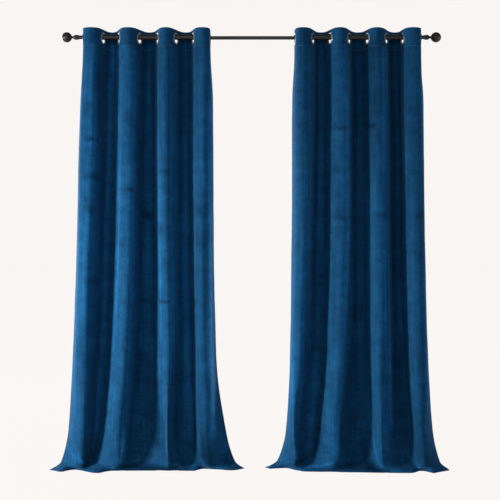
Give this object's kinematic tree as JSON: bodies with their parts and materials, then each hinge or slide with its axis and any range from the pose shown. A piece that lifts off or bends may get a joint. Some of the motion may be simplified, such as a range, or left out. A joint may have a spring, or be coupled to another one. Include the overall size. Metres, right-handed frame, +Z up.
{
  "type": "pair of eyelet curtains on a curtain rod",
  "caption": "Pair of floor-length velvet eyelet curtains hanging in soft vertical folds from a slim black telescopic rod with ball finials.",
  "frame": {"origin": "middle of the rod's axis, halfway between the ball finials", "axes": "+X along the rod to the right of someone facing the curtains, -Y towards the room, +Z up"},
  "size_m": [1.9187, 0.1568, 2.1149],
  "materials": {
    "velvet": "deep blue short-pile velvet with soft crush marks, matt in the folds and sheeny on their sides",
    "eyelet_metal": "bright silver-coloured pressed rings",
    "rod_black": "satin black enamel on steel"
  },
  "bodies": {
    "root": {"curtain_left": "velvet", "curtain_right": "velvet", "eyelet_left_1": "eyelet_metal", "eyelet_left_2": "eyelet_metal", "eyelet_left_3": "eyelet_metal", "eyelet_left_4": "eyelet_metal", "eyelet_left_5": "eyelet_metal", "eyelet_left_6": "eyelet_metal", "eyelet_left_7": "eyelet_metal", "eyelet_left_8": "eyelet_metal", "eyelet_right_1": "eyelet_metal", "eyelet_right_2": "eyelet_metal", "eyelet_right_3": "eyelet_metal", "eyelet_right_4": "eyelet_metal", "eyelet_right_5": "eyelet_metal", "eyelet_right_6": "eyelet_metal", "eyelet_right_7": "eyelet_metal", "eyelet_right_8": "eyelet_metal", "rod_outer_left": "rod_black", "rod_outer_right": "rod_black", "rod_inner": "rod_black", "finial_left": "rod_black", "finial_right": "rod_black"}
  },
  "joints": []
}
